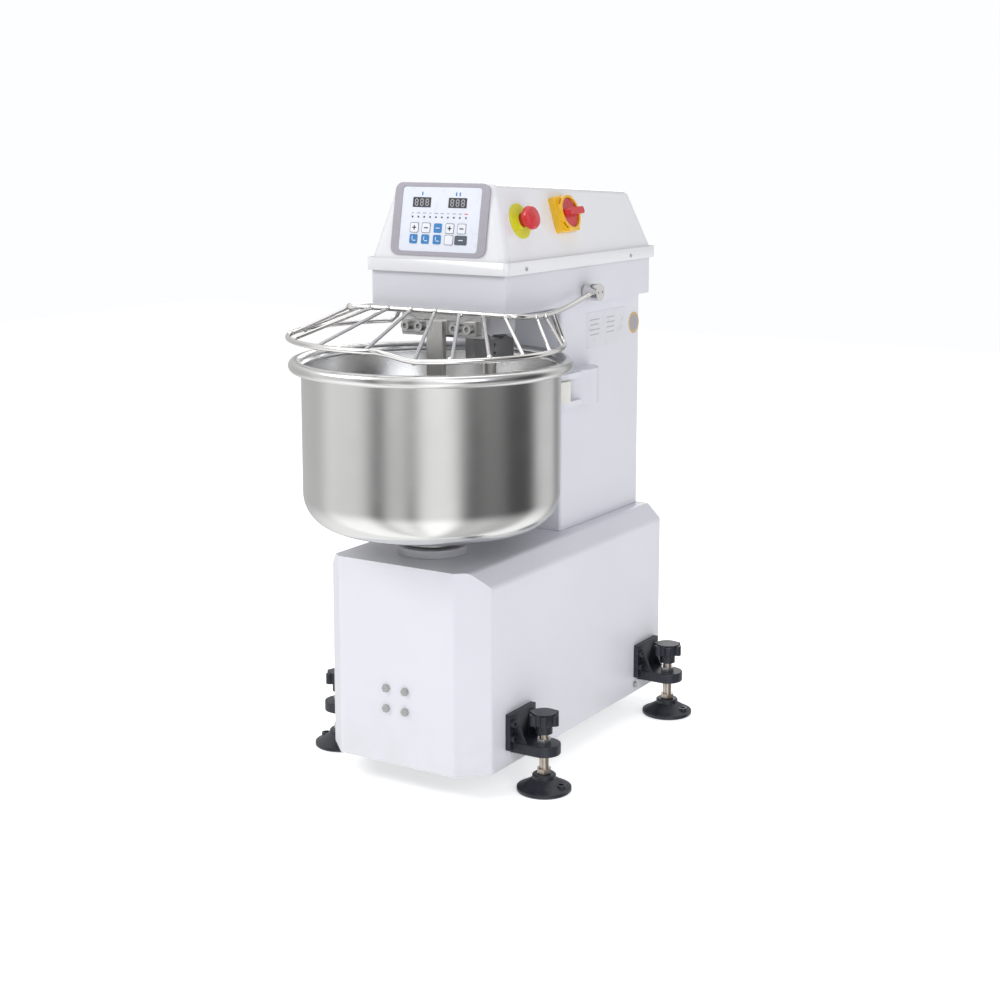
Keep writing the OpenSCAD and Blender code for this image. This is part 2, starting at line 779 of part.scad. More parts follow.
module foot_pad_rl() { foot_pad(-1, foot_rear); }

module foot_pad_rr() { foot_pad(1, foot_rear); }

// Screw, lower nut and star knob: three solids that turn and travel together
module foot_screw(x, y) {
    knob_z = 100;
    translate([x * foot_x, y, 0]) {
        color("silver") {
            translate([0, 0, 30]) cylinder(r = 8, h = knob_z - 30);
            translate([0, 0, 31]) hexagon(13, 8);
        }
        color("black") {
            translate([0, 0, knob_z]) cylinder(r = 14, h = 16);
            translate([0, 0, knob_z + 16]) cylinder(r = 21, h = 20);
            for (a = [0:60:300]) rotate([0, 0, a]) translate([20, 0, knob_z + 16]) cylinder(r = 7, h = 18);
        }
    }
}

module foot_screw_fl() { foot_screw(-1, foot_front); }

module foot_screw_fr() { foot_screw(1, foot_front); }

module foot_screw_rl() { foot_screw(-1, foot_rear); }

module foot_screw_rr() { foot_screw(1, foot_rear); }

// Hex bolts on the base's front and sides, small screws on the lid's flange and the rear cover
module cover_screws() {
    color("silver") {
        for (x = [-19, 19], z = [138, 173]) translate([x, base_front, z]) rotate([90, 0, 0]) hexagon(7, 5);
        mirrored() {
            translate([base_w / 2, 288, 58]) rotate([0, 90, 0]) hexagon(6, 5);
            for (y = [-79, 290]) translate([pan_w / 2 + flange_out, y, lid_z + 8]) rotate([0, 90, 0])
                cylinder(r = 3, h = 1.6);
        }
        for (x = [-97, 97], z = [base_top + 14, column_top - 14])
            translate([x, column_rear + sheet, z]) rotate([-90, 0, 0]) cylinder(r = 5, h = 2.5);
    }
}

base_shell();
chassis();
bowl_bearing_housing();
ball_bearings();
bowl_motor();
bowl_belt();
column_shell();
column_rear_cover();
spiral_motor();
spiral_belts();
spiral_bearing_housing();
head_pan();
head_lid();
head_plate();
breaker_bracket();
breaker_bar();
breaker_screws();
guard_pivot_pins();
guard_switch();
panel_bezel();
panel_face();
panel_displays();
membrane_keys();
control_board();
estop_collar();
switch_plate();
contact_blocks();
roller_housings();
roller_pins();
foot_brackets();
bracket_screws();
foot_lock_nuts();
cover_screws();
cable_gland();
bowl();
bowl_flange();
bowl_shaft();
bowl_pulley();
bowl_motor_pulley();
spiral_hook();
spiral_hub();
spiral_shaft();
spiral_pulley();
spiral_motor_pulley();
guard_upper_frame();
guard_lower_hoop();
guard_spokes();
guard_pivot_blocks();
estop_button();
switch_knob();
guide_roller_left();
guide_roller_right();
foot_pad_fl();
foot_pad_fr();
foot_pad_rl();
foot_pad_rr();
foot_screw_fl();
foot_screw_fr();
foot_screw_rl();
foot_screw_rr();
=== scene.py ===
"""Looks of the spiral dough mixer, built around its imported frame.

Metres, +Z up, +X to the machine's right, front towards -Y. Sizes are written in millimetres and
turned into metres by mm(). Camera, light and world values are in metres, degrees and watts.
"""

import json
import math

import bmesh
import bpy
from mathutils import Matrix, Vector


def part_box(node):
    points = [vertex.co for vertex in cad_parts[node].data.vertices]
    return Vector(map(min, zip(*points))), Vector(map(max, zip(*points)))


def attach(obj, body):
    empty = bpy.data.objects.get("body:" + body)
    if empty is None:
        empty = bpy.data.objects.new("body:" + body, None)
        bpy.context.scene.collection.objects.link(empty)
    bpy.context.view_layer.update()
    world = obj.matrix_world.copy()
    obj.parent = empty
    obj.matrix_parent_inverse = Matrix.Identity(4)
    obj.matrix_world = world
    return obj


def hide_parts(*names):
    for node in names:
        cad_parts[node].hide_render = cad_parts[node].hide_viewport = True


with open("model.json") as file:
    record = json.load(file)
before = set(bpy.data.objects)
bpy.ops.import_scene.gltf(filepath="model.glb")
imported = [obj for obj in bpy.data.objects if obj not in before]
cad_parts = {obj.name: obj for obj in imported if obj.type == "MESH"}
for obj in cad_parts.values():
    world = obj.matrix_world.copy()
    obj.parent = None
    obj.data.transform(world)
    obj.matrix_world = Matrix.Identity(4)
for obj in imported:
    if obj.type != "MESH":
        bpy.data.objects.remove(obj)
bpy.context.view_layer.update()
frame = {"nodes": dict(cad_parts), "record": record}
NODES = frame["nodes"]


def mm(*values):
    """Millimetres to metres; one value gives a number, more give a vector."""
    if len(values) == 1:
        return values[0] / 1000
    return Vector(values) / 1000


def centre(node):
    low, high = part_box(node)
    return (low + high) / 2


# ---- camera, light and floor ----

VIEW_AZIMUTH = math.radians(31.75)
VIEW_ELEVATION = math.radians(9.04)
VIEW_DISTANCE = 3.018
VIEW_TARGET_SIDE = 0.0501
VIEW_TARGET_Y = -0.028
VIEW_TARGET_Z = 0.618
VIEW_FOCAL = 1.744
SENSOR = 36
VIEW_SHIFT = -0.094


def make_camera():
    """Camera on a target beside the machine's axis, at the front right and slightly above."""
    right = Vector((math.cos(VIEW_AZIMUTH), math.sin(VIEW_AZIMUTH), 0))
    back = Vector((
        math.sin(VIEW_AZIMUTH) * math.cos(VIEW_ELEVATION),
        -math.cos(VIEW_AZIMUTH) * math.cos(VIEW_ELEVATION),
        math.sin(VIEW_ELEVATION),
    ))
    target = right * VIEW_TARGET_SIDE + Vector((0, VIEW_TARGET_Y, VIEW_TARGET_Z))
    data = bpy.data.cameras.new("camera")
    data.sensor_width = SENSOR
    data.lens = VIEW_FOCAL * SENSOR
    data.shift_y = VIEW_SHIFT
    camera = bpy.data.objects.new("camera", data)
    camera.location = target + back * VIEW_DISTANCE
    camera.rotation_euler = back.to_track_quat("Z", "Y").to_euler()
    bpy.context.scene.collection.objects.link(camera)
    bpy.context.scene.camera = camera


def area_light(name, place, target, size, power, colour=(1, 1, 1)):
    data = bpy.data.lights.new(name, "AREA")
    data.shape = "RECTANGLE"
    data.size, data.size_y = size
    data.energy = power
    data.color = colour
    light = bpy.data.objects.new(name, data)
    light.location = place
    light.rotation_euler = (Vector(place) - Vector(target)).to_track_quat("Z", "Y").to_euler()
    bpy.context.scene.collection.objects.link(light)


def make_lights():
    middle = (0, 0, 0.6)
    area_light("key_light", (-2.2, -2.6, 3.0), middle, (1.6, 1.6), 66)
    area_light("fill_light", (2.8, -1.6, 1.8), middle, (1.6, 2.2), 27, (0.92, 0.94, 1))
    area_light("top_light", (0.2, 0.3, 3.4), middle, (2.0, 2.0), 12)
    area_light("rim_light", (-1.2, 3.0, 2.2), middle, (1.4, 1.8), 20)


# Studio cards seen only in reflections: turn of the card's middle from +X, half width, brightness
CARDS = [
    (159, 36, 0.7),
    (-139, 25, 1.05),
    (-88, 10, 0.85),
    (-50, 18, 1.3),
    (0, 12, 0.2),
    (66, 17, 0.95),
    (105, 14, 0.45),
]
CARD_GAP = 0.1
AMBIENT = 0.42
CARD_FADE_OUT = 1.5
CARD_FULL = 0.6
CEILING = (0.15, 0.75, 0.55)  # where it starts, where it is full, brightness
GROUND = (-0.25, -0.7, 0.7)


def smooth_step(tree, value, start, full, bright=1.0):
    node = tree.nodes.new("ShaderNodeMapRange")
    node.interpolation_type = "SMOOTHSTEP"
    node.inputs["From Min"].default_value = start
    node.inputs["From Max"].default_value = full
    node.inputs["To Max"].default_value = bright
    tree.links.new(value, node.inputs["Value"])
    return node.outputs["Result"]


def make_world():
    """A pale surround, and for reflections a ring of bright cards with darker gaps between them."""
    world = bpy.data.worlds.new("studio")
    bpy.context.scene.world = world
    world.use_nodes = True
    tree = world.node_tree
    tree.nodes.clear()
    out = tree.nodes.new("ShaderNodeOutputWorld")
    path = tree.nodes.new("ShaderNodeLightPath")
    seen = tree.nodes.new("ShaderNodeBackground")
    seen.inputs["Color"].default_value = (0.985, 0.99, 1, 1)
    lit_by = tree.nodes.new("ShaderNodeMapRange")
    lit_by.inputs["To Min"].default_value = AMBIENT
    tree.links.new(path.outputs["Is Camera Ray"], lit_by.inputs["Value"])
    tree.links.new(lit_by.outputs["Result"], seen.inputs["Strength"])
    ring = tree.nodes.new("ShaderNodeBackground")
    coordinates = tree.nodes.new("ShaderNodeTexCoord")
    split = tree.nodes.new("ShaderNodeSeparateXYZ")
    tree.links.new(coordinates.outputs["Generated"], split.inputs[0])
    angle = math_node(tree, "ARCTAN2", split.outputs["Y"], split.outputs["X"])
    total = None
    for turn, half, bright in CARDS:
        wrapped = math_node(tree, "PINGPONG", math_node(tree, "SUBTRACT", angle, math.radians(turn)), math.pi)
        edge = smooth_step(tree, wrapped, math.radians(half * CARD_FADE_OUT), math.radians(half * CARD_FULL))
        lit = math_node(tree, "MULTIPLY", edge, bright)
        total = lit if total is None else math_node(tree, "ADD", total, lit)
    up = smooth_step(tree, split.outputs["Z"], *CEILING)
    down = smooth_step(tree, split.outputs["Z"], *GROUND)
    ends = math_node(tree, "ADD", up, down)
    bright = math_node(tree, "ADD", math_node(tree, "ADD", total, ends), CARD_GAP)
    tree.links.new(bright, ring.inputs["Strength"])
    glossy = tree.nodes.new("ShaderNodeMixShader")
    tree.links.new(path.outputs["Is Glossy Ray"], glossy.inputs[0])
    tree.links.new(seen.outputs[0], glossy.inputs[1])
    tree.links.new(ring.outputs[0], glossy.inputs[2])
    tree.links.new(glossy.outputs[0], out.inputs["Surface"])


FLOOR_HALF = 6
FLOOR_GLOW = 0.585  # lifts the far floor to the brightness of the surround


def make_floor():
    """Pale paper floor. It doesn't show in reflections, which see the world's cards instead."""
    mesh = bpy.data.meshes.new("floor")
    corners = [(x * FLOOR_HALF, y * FLOOR_HALF, 0) for x, y in ((-1, -1), (1, -1), (1, 1), (-1, 1))]
    mesh.from_pydata(corners, [], [(0, 1, 2, 3)])
    floor = bpy.data.objects.new("floor", mesh)
    floor.location.z = -mm(0.2)
    bpy.context.scene.collection.objects.link(floor)
    paper = plain_material("floor_paper", (0.93, 0.93, 0.93), 0.8, grain=0.01)
    shader = paper.node_tree.nodes["Principled BSDF"]
    shader.inputs["Emission Color"].default_value = (1, 1, 1, 1)
    shader.inputs["Emission Strength"].default_value = FLOOR_GLOW
    mesh.materials.append(paper)
    floor.visible_glossy = False


# ---- material building blocks ----


def math_node(tree, operation, a, b=None):
    node = tree.nodes.new("ShaderNodeMath")
    node.operation = operation
    for socket, value in zip(node.inputs, (a, b)):
        if isinstance(value, (int, float)):
            socket.default_value = value
        elif value is not None:
            tree.links.new(value, socket)
    return node.outputs[0]


def new_material(name):
    material = bpy.data.materials.new(name)
    material.use_nodes = True
    tree = material.node_tree
    return material, tree, tree.nodes["Principled BSDF"]


def noise(tree, scale, stretch=(1, 1, 1), detail=3.0):
    coordinates = tree.nodes.new("ShaderNodeTexCoord")
    mapping = tree.nodes.new("ShaderNodeMapping")
    mapping.inputs["Scale"].default_value = stretch
    texture = tree.nodes.new("ShaderNodeTexNoise")
    texture.inputs["Scale"].default_value = scale
    texture.inputs["Detail"].default_value = detail
    tree.links.new(coordinates.outputs["Object"], mapping.inputs["Vector"])
    tree.links.new(mapping.outputs[0], texture.inputs["Vector"])
    return texture.outputs["Fac"]


def spread(tree, value, low, high, from_low=0.3, from_high=0.7):
    node = tree.nodes.new("ShaderNodeMapRange")
    node.inputs["From Min"].default_value = from_low
    node.inputs["From Max"].default_value = from_high
    node.inputs["To Min"].default_value = low
    node.inputs["To Max"].default_value = high
    tree.links.new(value, node.inputs["Value"])
    return node.outputs["Result"]


def blend_colours(tree, factor, first, second):
    node = tree.nodes.new("ShaderNodeMix")
    node.data_type = "RGBA"
    tree.links.new(factor, node.inputs["Factor"])
    for socket, value in ((node.inputs["A"], first), (node.inputs["B"], second)):
        if isinstance(value, (tuple, list)):
            socket.default_value = (*value, 1)
        else:
            tree.links.new(value, socket)
    return node.outputs["Result"]


def add_bump(tree, shader, height, distance, strength=1.0):
    node = tree.nodes.new("ShaderNodeBump")
    node.inputs["Strength"].default_value = strength
    node.inputs["Distance"].default_value = distance
    tree.links.new(height, node.inputs["Height"])
    tree.links.new(node.outputs[0], shader.inputs["Normal"])


def shade(colour, factor):
    return tuple(min(1.0, c * factor) for c in colour)


def plain_material(name, colour, rough, metal=0.0, grain=0.05, grain_scale=60, bump_scale=900,
                   bump=mm(0.01), coat=0.0, rough_spread=0.12):
    """Paint, plastic or casting: a cloudy colour, uneven roughness and a fine surface texture."""
    material, tree, shader = new_material(name)
    clouds = noise(tree, grain_scale)
    tint = spread(tree, clouds, 0, 1)
    tree.links.new(blend_colours(tree, tint, shade(colour, 1 - grain), shade(colour, 1 + grain)),
                   shader.inputs["Base Color"])
    tree.links.new(spread(tree, clouds, rough * (1 - rough_spread), rough * (1 + rough_spread)),
                   shader.inputs["Roughness"])
    shader.inputs["Metallic"].default_value = metal
    shader.inputs["Coat Weight"].default_value = coat
    shader.inputs["Coat Roughness"].default_value = 0.08
    add_bump(tree, shader, noise(tree, bump_scale, detail=2), bump)
    return material


def painted_sheet(name, colour):
    """Powder-coated sheet steel: orange peel, faint clouds and a little dust low down."""
    material, tree, shader = new_material(name)
    clouds = noise(tree, 4, detail=4)
    tint = blend_colours(tree, spread(tree, clouds, 0, 1), shade(colour, 0.975), shade(colour, 1.015))
    coordinates = tree.nodes.new("ShaderNodeTexCoord")
    split = tree.nodes.new("ShaderNodeSeparateXYZ")
    tree.links.new(coordinates.outputs["Object"], split.inputs[0])
    low = spread(tree, split.outputs["Z"], 1, 0, 0.04, 0.16)
    dusty = math_node(tree, "MULTIPLY", low, spread(tree, noise(tree, 25, detail=6), 0, 0.25))
    tree.links.new(blend_colours(tree, dusty, tint, (0.62, 0.6, 0.58)), shader.inputs["Base Color"])
    tree.links.new(spread(tree, noise(tree, 12, detail=5), 0.3, 0.4), shader.inputs["Roughness"])
    shader.inputs["Coat Weight"].default_value = 0.15
    shader.inputs["Coat Roughness"].default_value = 0.2
    add_bump(tree, shader, noise(tree, 420, detail=2), mm(0.02), 0.5)
    return material


def brushed_steel(name, colour, rough, stretch, turned=False, anisotropy=0.0, streak=0.08, fine=500):
    """Steel with brush marks: fine lines drawn out along one direction, and cloudy handling marks."""
    material, tree, shader = new_material(name)
    lines = noise(tree, fine, stretch, detail=5)
    clouds = noise(tree, 9, detail=4)
    tint = spread(tree, lines, 0, 1)
    streaked = blend_colours(tree, tint, shade(colour, 1 - streak), shade(colour, 1 + streak))
    tree.links.new(blend_colours(tree, spread(tree, clouds, 0, 0.5), streaked, shade(colour, 0.94)),
                   shader.inputs["Base Color"])
    cloudy = spread(tree, clouds, rough * 0.85, rough * 1.15)
    uneven = math_node(tree, "ADD", spread(tree, lines, -0.012, 0.012), cloudy)
    tree.links.new(uneven, shader.inputs["Roughness"])
    shader.inputs["Metallic"].default_value = 1.0
    shader.inputs["Anisotropic"].default_value = anisotropy
    if turned:
        tangent = tree.nodes.new("ShaderNodeTangent")
        tangent.direction_type = "RADIAL"
        tangent.axis = "Z"
        tree.links.new(tangent.outputs[0], shader.inputs["Tangent"])
    add_bump(tree, shader, lines, mm(0.002), 0.08)
    return material


def screw_and_knob(name, split_height):
    """Zinc-plated screw below a height, moulded black knob above it."""
    material, tree, shader = new_material(name)
    coordinates = tree.nodes.new("ShaderNodeTexCoord")
    split = tree.nodes.new("ShaderNodeSeparateXYZ")
    tree.links.new(coordinates.outputs["Object"], split.inputs[0])
    knob = math_node(tree, "GREATER_THAN", split.outputs["Z"], split_height)
    clouds = noise(tree, 60, detail=4)
    zinc = blend_colours(tree, spread(tree, clouds, 0, 1), (0.42, 0.36, 0.31), (0.62, 0.56, 0.5))
    black = blend_colours(tree, spread(tree, clouds, 0, 1), (0.012, 0.014, 0.022), (0.022, 0.025, 0.036))
    tree.links.new(blend_colours(tree, knob, zinc, black), shader.inputs["Base Color"])
    metal = math_node(tree, "SUBTRACT", 1.0, knob)
    tree.links.new(metal, shader.inputs["Metallic"])
    rough = math_node(tree, "ADD", math_node(tree, "MULTIPLY", knob, 0.1), spread(tree, clouds, 0.24, 0.34))
    tree.links.new(rough, shader.inputs["Roughness"])
    thread = tree.nodes.new("ShaderNodeTexWave")
    thread.bands_direction = "Z"
    thread.inputs["Scale"].default_value = 160
    tree.links.new(coordinates.outputs["Object"], thread.inputs["Vector"])
    ridges = math_node(tree, "MULTIPLY", thread.outputs["Fac"], metal)
    add_bump(tree, shader, ridges, mm(0.15), 0.5)
    return material


WHITE = (0.73, 0.735, 0.785)
MATERIALS = {
    "white_paint": painted_sheet("white_paint", WHITE),
    "white_shell": plain_material("white_shell", (0.83, 0.83, 0.855), 0.22, grain=0.012, grain_scale=6,
                                  bump_scale=30, bump=mm(0.08), coat=0.35),
    "stainless": brushed_steel("stainless", (0.50, 0.495, 0.485), 0.3, (1, 1, 0.03), streak=0.04, fine=2200),
    "bowl_steel": brushed_steel("bowl_steel", (0.66, 0.66, 0.655), 0.2, (0.03, 0.03, 1), turned=True,
                                anisotropy=0.7, streak=0.025, fine=1600),
    "polished_steel": brushed_steel("polished_steel", (0.72, 0.71, 0.70), 0.14, (1, 1, 1), streak=0.02),
    "chassis_steel": plain_material("chassis_steel", (0.09, 0.1, 0.11), 0.6, grain=0.15),
    "machined_steel": brushed_steel("machined_steel", (0.5, 0.5, 0.5), 0.28, (0.1, 0.1, 1), streak=0.03),
    "hub_steel": brushed_steel("hub_steel", (0.17, 0.17, 0.175), 0.34, (0.1, 0.1, 1), streak=0.03),
    "housing_paint": plain_material("housing_paint", (0.6, 0.6, 0.63), 0.35, grain=0.04, coat=0.2),
    "motor_paint": plain_material("motor_paint", (0.12, 0.15, 0.19), 0.45, grain=0.1, bump=mm(0.05)),
    "belt_rubber": plain_material("belt_rubber", (0.02, 0.02, 0.02), 0.7, grain=0.2),
    "black_plastic": plain_material("black_plastic", (0.016, 0.019, 0.028), 0.36, grain=0.25, bump=mm(0.03)),
    "black_iron": plain_material("black_iron", (0.018, 0.021, 0.031), 0.42, grain=0.25, bump_scale=500,
                                 bump=mm(0.12)),
    "grey_overlay": plain_material("grey_overlay", (0.38, 0.36, 0.41), 0.35, grain=0.03, bump=mm(0.01)),
    "white_overlay": plain_material("white_overlay", (0.78, 0.81, 0.9), 0.3, grain=0.015, bump=mm(0.01)),
    "display_black": plain_material("display_black", (0.035, 0.037, 0.045), 0.12, grain=0.1, coat=0.6),
    "key_film": plain_material("key_film", (0.02, 0.17, 0.42), 0.35, grain=0.05, bump=mm(0.01)),
    "circuit_green": plain_material("circuit_green", (0.02, 0.16, 0.07), 0.35, grain=0.2, coat=0.3),
    "yellow_plastic": plain_material("yellow_plastic", (0.9, 0.53, 0.01), 0.32, grain=0.04, coat=0.2),
    "collar_yellow": plain_material("collar_yellow", (0.72, 0.72, 0.03), 0.4, grain=0.04),
    "red_plastic": plain_material("red_plastic", (0.62, 0.012, 0.022), 0.3, grain=0.06, coat=0.25),
    "nylon": plain_material("nylon", (0.8, 0.79, 0.74), 0.4, grain=0.03),
    "foot_steel": screw_and_knob("foot_steel", mm(99.5)),
    "gland_plastic": plain_material("gland_plastic", (0.04, 0.04, 0.045), 0.5, grain=0.15),
    "key_white": plain_material("key_white", (0.83, 0.85, 0.9), 0.3, grain=0.02),
    "key_dark": plain_material("key_dark", (0.07, 0.09, 0.12), 0.3, grain=0.05),
    "digit_grey": plain_material("digit_grey", (0.5, 0.5, 0.52), 0.4, grain=0.02),
    "ink_black": plain_material("ink_black", (0.02, 0.02, 0.025), 0.5, grain=0.05),
    "ink_blue": plain_material("ink_blue", (0.02, 0.2, 0.5), 0.4, grain=0.05),
    "plate_foil": plain_material("plate_foil", (0.7, 0.7, 0.74), 0.3, grain=0.03),
    "seal_gold": plain_material("seal_gold", (0.6, 0.42, 0.18), 0.35, grain=0.06),
}

# ---- the CAD nodes' finish ----

SOFT_EDGE = {"base_shell": 1.3, "head_pan": 1.2, "column_shell": 1.2, "foot_brackets": 1.5, "spiral_hub": 1.0,
             "breaker_bar": 1.0, "breaker_bracket": 0.8, "roller_housings": 1.3, "switch_knob": 1.2,
             "switch_plate": 1.2, "guard_pivot_blocks": 1.2, "bowl_flange": 1.0, "bowl_bearing_housing": 1.5}
KNOBS = 3.0
PADS = 1.0
DEFAULT_EDGE = 0.4
UNBEVELLED = ("head_lid", "column_rear_cover", "guard_upper_frame", "guard_lower_hoop",
              "spiral_hook", "guard_spokes")


def edge_width(node):
    if node.startswith("foot_screw"):
        return KNOBS
    if node.startswith("foot_pad"):
        return PADS
    return SOFT_EDGE.get(node, DEFAULT_EDGE)


def finish_node(node, slot):
    """The slot's material, welded triangles and softly broken edges; the mesh itself stays as it is."""
    piece = NODES[node]
    piece.data.materials.clear()
    piece.data.materials.append(MATERIALS[slot])
    for face in piece.data.polygons:
        face.use_smooth = True
    weld = piece.modifiers.new("weld", "WELD")
    weld.merge_threshold = mm(0.01)
    if node not in UNBEVELLED:
        bevel = piece.modifiers.new("edges", "BEVEL")
        bevel.width = mm(edge_width(node))
        bevel.segments = 2
        bevel.limit_method = "ANGLE"
        bevel.angle_limit = math.radians(38)
    normals = piece.modifiers.new("normals", "WEIGHTED_NORMAL")
    normals.weight = 90


NODE_LOOK = {"estop_collar": "collar_yellow", "spiral_hub": "hub_steel"}


def finish_nodes():
    for part in frame["record"]["subparts"]:
        finish_node(part["node"], NODE_LOOK.get(part["node"], part["material_slot"]))


# ---- mesh building blocks ----


def add_object(name, mesh, material, smooth=True):
    mesh.materials.append(MATERIALS[material])
    for face in mesh.polygons:
        face.use_smooth = smooth
    piece = bpy.data.objects.new(name, mesh)
    bpy.context.scene.collection.objects.link(piece)
    return piece


def mesh_from(name, bm):
    bmesh.ops.recalc_face_normals(bm, faces=bm.faces)
    mesh = bpy.data.meshes.new(name)
    bm.to_mesh(mesh)
    bm.free()
    return mesh


def revolve(name, outline, middle, material, steps=192):
    """Closed ring of an outline of (radius, height) turned about Z; points on the axis become caps."""
    bm = bmesh.new()
    rings = []
    for radius, height in outline:
        if radius < 1e-6:
            rings.append([bm.verts.new((middle.x, middle.y, height))] * steps)
        else:
            turns = (2 * math.pi * i / steps for i in range(steps))
            around = ((middle.x + radius * math.cos(a), middle.y + radius * math.sin(a), height) for a in turns)
            rings.append([bm.verts.new(point) for point in around])
    for lower, upper in zip(rings, rings[1:] + rings[:1]):
        for i in range(steps):
            j = (i + 1) % steps
            corners = []
            for vert in (lower[i], lower[j], upper[j], upper[i]):
                if vert not in corners:
                    corners.append(vert)
            if len(corners) > 2:
                bm.faces.new(corners)
    return add_object(name, mesh_from(name, bm), material)


def arc(middle, radius, start, stop, steps):
    """Points of an arc in a (radius, height) outline, from start to stop degrees."""
    angles = (math.radians(start + (stop - start) * i / steps) for i in range(steps + 1))
    return [(middle[0] + radius * math.cos(a), middle[1] + radius * math.sin(a)) for a in angles]


def rounded_outline(width, height, radius, steps=5):
    points = []
    for turn, sx, sy in ((0, 1, 1), (90, -1, 1), (180, -1, -1), (270, 1, -1)):
        middle = (sx * (width / 2 - radius), sy * (height / 2 - radius))
        points += arc(middle, radius, turn, turn + 90, steps)
    return points


def slab(bm, outline, low, high, offset=(0, 0)):
    """A flat plate with a slightly smaller top edge, added to a bmesh."""
    chamfer = min(mm(0.25), (high - low) * 0.4)
    rows = []
    widest = max(abs(x) for x, _ in outline)
    for height, inset in ((low, 0), (high - chamfer, 0), (high, chamfer)):
        factor = 1 - inset / max(widest, 1e-6)
        points = ((x * factor + offset[0], y * factor + offset[1], height) for x, y in outline)
        rows.append([bm.verts.new(point) for point in points])
    count = len(outline)
    for lower, upper in zip(rows, rows[1:]):
        for i in range(count):
            bm.faces.new((lower[i], lower[(i + 1) % count], upper[(i + 1) % count], upper[i]))
    bm.faces.new(rows[-1])
    bm.faces.new(list(reversed(rows[0])))


def place(piece, matrix, body, slot):
    piece.data.transform(matrix)
    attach(piece, body)
    return piece


# ---- bowl ----

BOWL_SHEET = 3.0
BOWL_FILLET = 60.0
BEAD = 10.5
RIM_INSET = 21.0


def build_bowl():
    """Spun steel bowl: flat bottom, wide fillet, straight wall, and a lip rolled over a hollow bead."""
    low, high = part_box("bowl")
    middle = (low + high) / 2
    sheet, fillet, bead = mm(BOWL_SHEET), mm(BOWL_FILLET), mm(BEAD)
    wall = (high.x - low.x) / 2 - mm(RIM_INSET)
    bead_z = high.z - bead
    outside = [(0, low.z), (wall - fillet, low.z)]
    outside += arc((wall - fillet, low.z + fillet), fillet, -90, 0, 18)[1:]
    lip = arc((wall + bead, bead_z), bead, -150, 180 - 1, 36)
    outside += [(wall, bead_z - bead * 1.1)] + lip
    inside = [(wall - sheet * 0.6, bead_z + bead * 0.25), (wall - sheet, bead_z - bead * 0.6)]
    inside += [(wall - sheet, low.z + fillet)]
    inside += arc((wall - fillet, low.z + fillet), fillet - sheet, 0, -90, 18)
    inside += [(0, low.z + sheet)]
    bowl = revolve("bowl_shell", outside + inside, middle, "bowl_steel")
    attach(bowl, "bowl")
    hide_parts("bowl")


# ---- control panel ----

FRONT_TILT = math.radians(10)
BEZEL_THICK = 3.0
KEY_COLUMNS = [-49, -25.5, -2, 21.5, 45]
KEY_ROWS = [-14.5, -33.5]
KEY_SIZE = 15.6
DISPLAYS = [-38.5, 32.5]
DISPLAY_Y = 28.0


def panel_matrix():
    """From the panel's own plane, x right, y up its slope and z outwards, to the row frame."""
    turn = Matrix.Rotation(math.pi / 2 - FRONT_TILT, 4, "X")
    return Matrix.Translation(centre("panel_bezel")) @ turn @ Matrix.Translation((0, 0, -mm(BEZEL_THICK / 2)))


PRINT_SLOTS = {"key_white": "white_overlay", "key_dark": "display_black", "digit_grey": "white_overlay",
               "ink_black": "display_black", "ink_blue": "key_film"}


def print_shapes(name, shapes, material, low, high):
    """Several rounded rectangles (x, y, width, height, radius) in one thin piece on the panel."""
    bm = bmesh.new()
    for x, y, width, height, radius in shapes:
        outline = rounded_outline(mm(width), mm(height), mm(radius))
        slab(bm, outline, mm(low), mm(high), (mm(x), mm(y)))
    piece = add_object(name, mesh_from(name, bm), material, smooth=False)
    return place(piece, panel_matrix(), "frame", PRINT_SLOTS.get(material, material))


KEY_FACE = 2.9
KEY_WHITE = [(0, 0), (1, 0), (3, 0), (4, 0), (3, 1)]
KEY_BLUE = [(2, 0), (0, 1), (1, 1), (2, 1)]
KEY_DARK = [(4, 1)]


def key_shape(column, row, grow=0.0):
    width = 24 if (column, row) == (4, 1) else KEY_SIZE
    return (KEY_COLUMNS[column], KEY_ROWS[row], width + grow, KEY_SIZE + grow, 2.5)


def digit_segments(x, y, tall=10.6):
    """All seven bars of one display digit."""
    wide = tall * 0.5
    bar = 1.3
    across = [(x, y + dy, wide - bar, bar, 0.3) for dy in (-tall / 2, 0, tall / 2)]
    upright = [(x + sx * wide / 2, y + sy * tall / 4, bar, tall / 2 - bar, 0.3)
               for sx in (-1, 1) for sy in (-1, 1)]
    return across + upright


